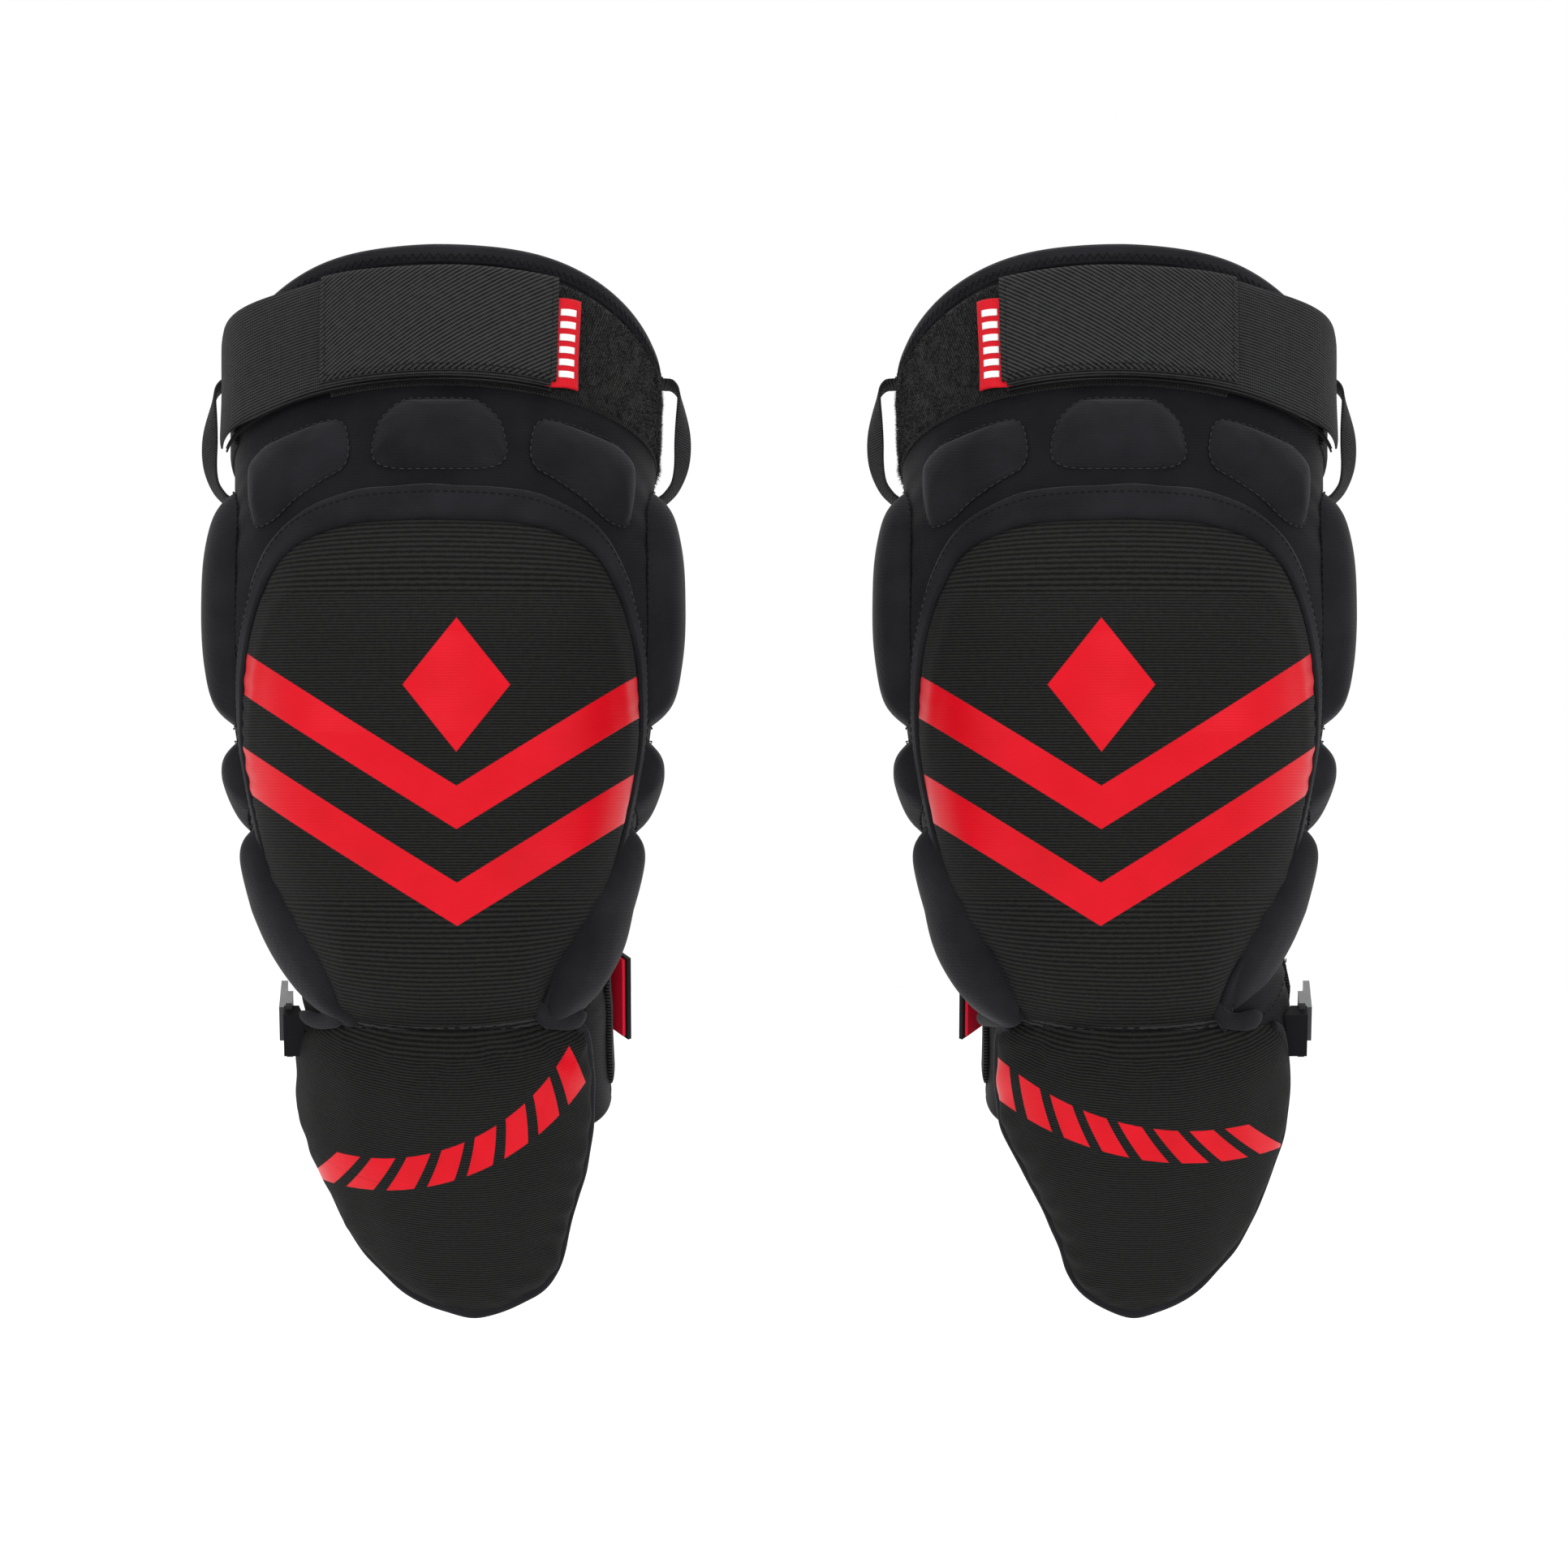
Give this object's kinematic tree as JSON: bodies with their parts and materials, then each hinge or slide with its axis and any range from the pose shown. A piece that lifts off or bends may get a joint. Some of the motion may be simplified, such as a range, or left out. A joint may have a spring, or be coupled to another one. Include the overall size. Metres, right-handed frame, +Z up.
{
  "type": "motorcycle knee guards",
  "caption": "Pair of soft neoprene knee guards with a hard cup under a printed cover, shin plates, foam side pads, elastic thigh straps and clip-on calf straps.",
  "frame": {"origin": "midway between the two guards and midway from front to back, at the height of the shin plates' tips", "axes": "+X from the right leg's guard to the left leg's, -Y to the front, +Z up the leg"},
  "size_m": [0.4616, 0.1938, 0.4263],
  "materials": {
    "neoprene": "matt stretch fabric over 3 mm foam rubber",
    "padded_neoprene": "matt stretch fabric over thick foam",
    "stretch_mesh": "open stretch mesh",
    "binding_tape": "folded stretch binding with zig-zag stitch",
    "ribbed_knit": "hard-wearing knit with fine cross ribs and a red rubber print",
    "twill_elastic": "woven elastic, diagonal weave",
    "ribbed_elastic": "woven elastic, ribbed",
    "loop_pile": "brushed loop pile",
    "black_hook": "moulded hook tape",
    "red_hook": "moulded hook tape",
    "red_label": "woven label",
    "tab_fabric": "woven nylon",
    "webbing": "narrow grosgrain",
    "foam": "closed-cell foam",
    "hard_plastic": "moulded plastic shell",
    "clip_plastic": "moulded acetal"
  },
  "bodies": {
    "right_knee": {"right_knee_sleeve": "neoprene", "right_knee_foam": "foam", "right_knee_shell": "hard_plastic", "right_knee_cover": "ribbed_knit", "right_knee_piping": "padded_neoprene", "right_outer_side_pads": "padded_neoprene", "right_inner_side_pads": "padded_neoprene"},
    "right_cuff": {"right_thigh_sleeve": "neoprene", "right_thigh_back_panel": "stretch_mesh", "right_top_binding": "binding_tape", "right_cuff_pads": "padded_neoprene", "right_thigh_loop_pad": "loop_pile", "right_thigh_strap_anchor": "ribbed_elastic"},
    "right_strap": {"right_thigh_strap": "twill_elastic", "right_thigh_hook_patch": "black_hook", "right_thigh_strap_label": "red_label"},
    "right_outer_loop": {"right_outer_pull_loop": "webbing"},
    "right_inner_loop": {"right_inner_pull_loop": "webbing"},
    "right_shin": {"right_shin_sleeve": "neoprene", "right_calf_panel": "stretch_mesh", "right_shin_foam": "foam", "right_shin_shell": "hard_plastic", "right_shin_cover": "ribbed_knit", "right_shin_piping": "padded_neoprene", "right_calf_strap": "ribbed_elastic", "right_clip_frame": "clip_plastic", "right_clip_tape": "webbing"},
    "right_calf_tab": {"right_calf_tab": "tab_fabric", "right_calf_tab_hook": "red_hook"},
    "right_clip": {"right_calf_clip": "clip_plastic"},
    "left_knee": {"left_knee_sleeve": "neoprene", "left_knee_foam": "foam", "left_knee_shell": "hard_plastic", "left_knee_cover": "ribbed_knit", "left_knee_piping": "padded_neoprene", "left_outer_side_pads": "padded_neoprene", "left_inner_side_pads": "padded_neoprene"},
    "left_cuff": {"left_thigh_sleeve": "neoprene", "left_thigh_back_panel": "stretch_mesh", "left_top_binding": "binding_tape", "left_cuff_pads": "padded_neoprene", "left_thigh_loop_pad": "loop_pile", "left_thigh_strap_anchor": "ribbed_elastic"},
    "left_strap": {"left_thigh_strap": "twill_elastic", "left_thigh_hook_patch": "black_hook", "left_thigh_strap_label": "red_label"},
    "left_outer_loop": {"left_outer_pull_loop": "webbing"},
    "left_inner_loop": {"left_inner_pull_loop": "webbing"},
    "left_shin": {"left_shin_sleeve": "neoprene", "left_calf_panel": "stretch_mesh", "left_shin_foam": "foam", "left_shin_shell": "hard_plastic", "left_shin_cover": "ribbed_knit", "left_shin_piping": "padded_neoprene", "left_calf_strap": "ribbed_elastic", "left_clip_frame": "clip_plastic", "left_clip_tape": "webbing"},
    "left_calf_tab": {"left_calf_tab": "tab_fabric", "left_calf_tab_hook": "red_hook"},
    "left_clip": {"left_calf_clip": "clip_plastic"}
  },
  "joints": [
    {"name": "right_cuff_flex", "type": "hinge", "parent": "right_knee", "child": "right_cuff", "pos_m": [-0.134, -0.03329, 0.31786], "axis": [-1, 0, 0], "range_deg": [-10, 25], "stiffness_Nm_per_rad": 3, "springref_deg": -1.72},
    {"name": "right_shin_flex", "type": "hinge", "parent": "right_knee", "child": "right_shin", "pos_m": [-0.134, -0.03329, 0.13186], "axis": [1, 0, 0], "range_deg": [-10, 35], "stiffness_Nm_per_rad": 3, "springref_deg": 1.15},
    {"name": "right_strap_peel", "type": "hinge", "parent": "right_cuff", "child": "right_strap", "pos_m": [-0.22146, 0.01282, 0.36642], "axis": [0, -0.5, -0.866], "range_deg": [0, 110]},
    {"name": "right_outer_loop_swing", "type": "hinge", "parent": "right_cuff", "child": "right_outer_loop", "pos_m": [-0.2182, 0.01078, 0.32487], "axis": [-0.0518, 0.4993, 0.8649], "range_deg": [-25, 25], "stiffness_Nm_per_rad": 0.02},
    {"name": "right_inner_loop_swing", "type": "hinge", "parent": "right_cuff", "child": "right_inner_loop", "pos_m": [-0.0498, 0.01078, 0.32487], "axis": [0.0462, 0.4995, 0.8651], "range_deg": [-25, 25], "stiffness_Nm_per_rad": 0.02},
    {"name": "right_tab_peel", "type": "hinge", "parent": "right_shin", "child": "right_calf_tab", "pos_m": [-0.07885, 0.03394, 0.13576], "axis": [0, -0.4226, 0.9063], "range_deg": [0, 80]},
    {"name": "right_clip_swing", "type": "hinge", "parent": "right_shin", "child": "right_clip", "pos_m": [-0.19842, 0.0174, 0.12473], "axis": [0, 0.4226, -0.9063], "range_deg": [0, 70]},
    {"name": "left_cuff_flex", "type": "hinge", "parent": "left_knee", "child": "left_cuff", "pos_m": [0.134, -0.03329, 0.31786], "axis": [-1, 0, 0], "range_deg": [-10, 25], "stiffness_Nm_per_rad": 3, "springref_deg": -1.72},
    {"name": "left_shin_flex", "type": "hinge", "parent": "left_knee", "child": "left_shin", "pos_m": [0.134, -0.03329, 0.13186], "axis": [1, 0, 0], "range_deg": [-10, 35], "stiffness_Nm_per_rad": 3, "springref_deg": 1.15},
    {"name": "left_strap_peel", "type": "hinge", "parent": "left_cuff", "child": "left_strap", "pos_m": [0.22146, 0.01282, 0.36642], "axis": [0, 0.5, 0.866], "range_deg": [0, 110]},
    {"name": "left_outer_loop_swing", "type": "hinge", "parent": "left_cuff", "child": "left_outer_loop", "pos_m": [0.2182, 0.01078, 0.32487], "axis": [-0.0518, -0.4993, -0.8649], "range_deg": [-25, 25], "stiffness_Nm_per_rad": 0.02},
    {"name": "left_inner_loop_swing", "type": "hinge", "parent": "left_cuff", "child": "left_inner_loop", "pos_m": [0.0498, 0.01078, 0.32487], "axis": [0.0462, -0.4995, -0.8651], "range_deg": [-25, 25], "stiffness_Nm_per_rad": 0.02},
    {"name": "left_tab_peel", "type": "hinge", "parent": "left_shin", "child": "left_calf_tab", "pos_m": [0.09183, 0.03394, 0.13576], "axis": [0, 0.4226, -0.9063], "range_deg": [0, 80]},
    {"name": "left_clip_swing", "type": "hinge", "parent": "left_shin", "child": "left_clip", "pos_m": [0.21163, 0.0174, 0.12473], "axis": [0, -0.4226, 0.9063], "range_deg": [0, 70]},
    {"name": "pair_spacing", "type": "slide", "parent": "right_knee", "child": "left_knee", "axis": [1, 0, 0], "range_m": [0, 0.06]}
  ]
}
